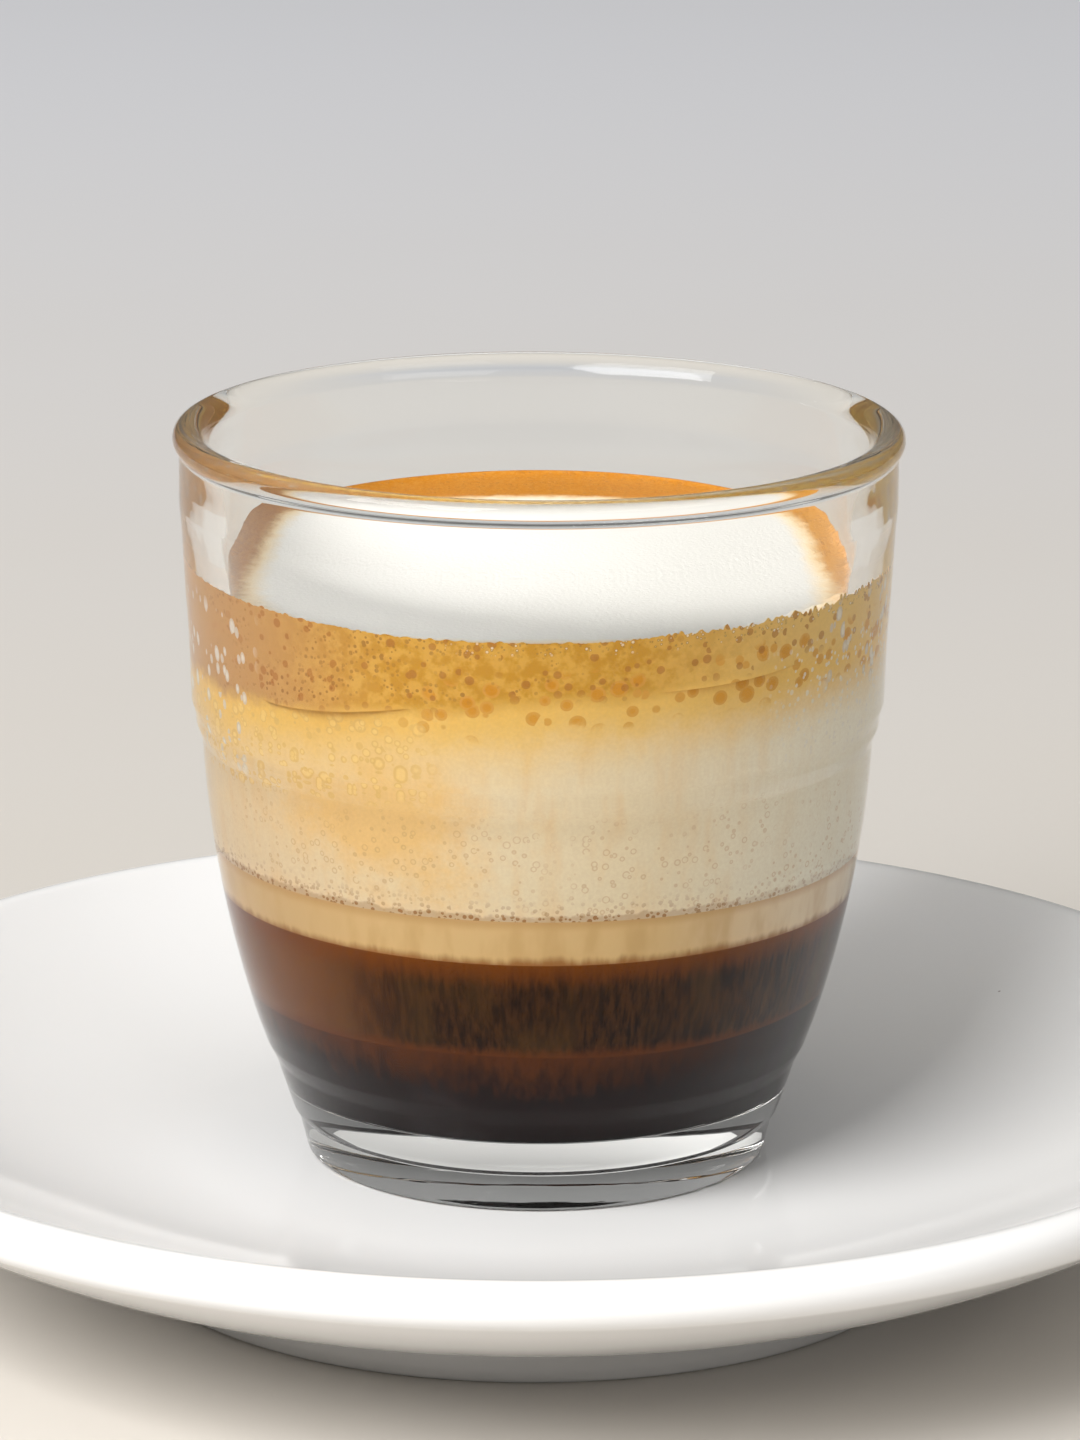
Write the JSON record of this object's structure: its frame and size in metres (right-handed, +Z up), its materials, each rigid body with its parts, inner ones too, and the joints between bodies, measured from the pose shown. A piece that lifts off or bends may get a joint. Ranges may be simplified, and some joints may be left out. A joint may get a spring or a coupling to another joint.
{
  "type": "espresso macchiato",
  "caption": "Layered coffee with milk, foam and a ring of crema, in a small stackable pressed glass on a white saucer.",
  "frame": {"origin": "middle of the saucer's foot, on the table", "axes": "+Z up, along the saucer's axis; +X to the viewer's right and +Y away from the viewer; the glass stands 0.6 mm towards +X"},
  "size_m": [0.1292, 0.1292, 0.0722],
  "materials": {
    "porcelain": "smooth white glaze",
    "glass": "clear pressed glass, polished",
    "espresso": "near-black coffee behind glass",
    "coffee": "brown coffee behind glass",
    "milk": "beige milk stained with coffee",
    "crema": "fine golden-brown bubbles",
    "foam": "fine white milk foam"
  },
  "bodies": {
    "root": {"saucer": "porcelain", "glass": "glass", "espresso": "espresso", "coffee": "coffee", "milk": "milk", "crema": "crema", "foam": "foam"}
  },
  "joints": []
}
